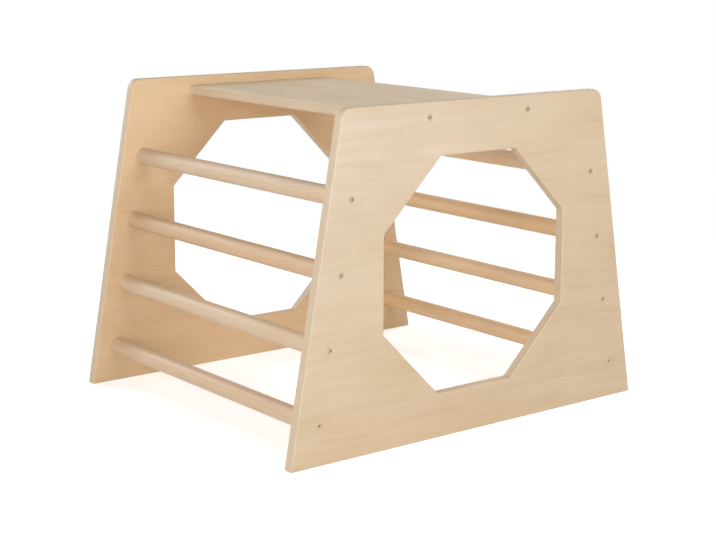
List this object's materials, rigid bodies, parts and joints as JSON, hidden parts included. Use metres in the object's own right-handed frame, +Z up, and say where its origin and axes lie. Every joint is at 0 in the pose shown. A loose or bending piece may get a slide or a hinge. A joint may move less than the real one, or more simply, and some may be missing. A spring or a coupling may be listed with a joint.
{
  "type": "climbing cube",
  "caption": "Free-standing wooden climbing cube: tapered plywood sides with octagonal crawl-through openings, round rungs on both slopes and a platform board on top.",
  "frame": {"origin": "on the floor, midway between the side panels and midway between the two slopes", "axes": "+X along the rungs from the left side panel to the right one, +Y from the front slope to the rear slope, +Z up"},
  "size_m": [0.64, 0.749, 0.55],
  "materials": {
    "side_panel": "pale plywood, fine-sanded, clear matt lacquer",
    "platform": "pale plywood, fine-sanded, clear matt lacquer",
    "rung": "turned hardwood rod, fine-sanded, clear matt lacquer",
    "screw": "plated, satin"
  },
  "bodies": {
    "root": {"left_side_panel": "side_panel", "right_side_panel": "side_panel", "platform_board": "platform", "front_rung_1": "rung", "front_rung_2": "rung", "front_rung_3": "rung", "front_rung_4": "rung", "rear_rung_1": "rung", "rear_rung_2": "rung", "rear_rung_3": "rung", "rear_rung_4": "rung", "front_rung_1_screws": "screw", "front_rung_2_screws": "screw", "front_rung_3_screws": "screw", "front_rung_4_screws": "screw", "rear_rung_1_screws": "screw", "rear_rung_2_screws": "screw", "rear_rung_3_screws": "screw", "rear_rung_4_screws": "screw", "platform_screws_left": "screw", "platform_screws_right": "screw"}
  },
  "joints": []
}
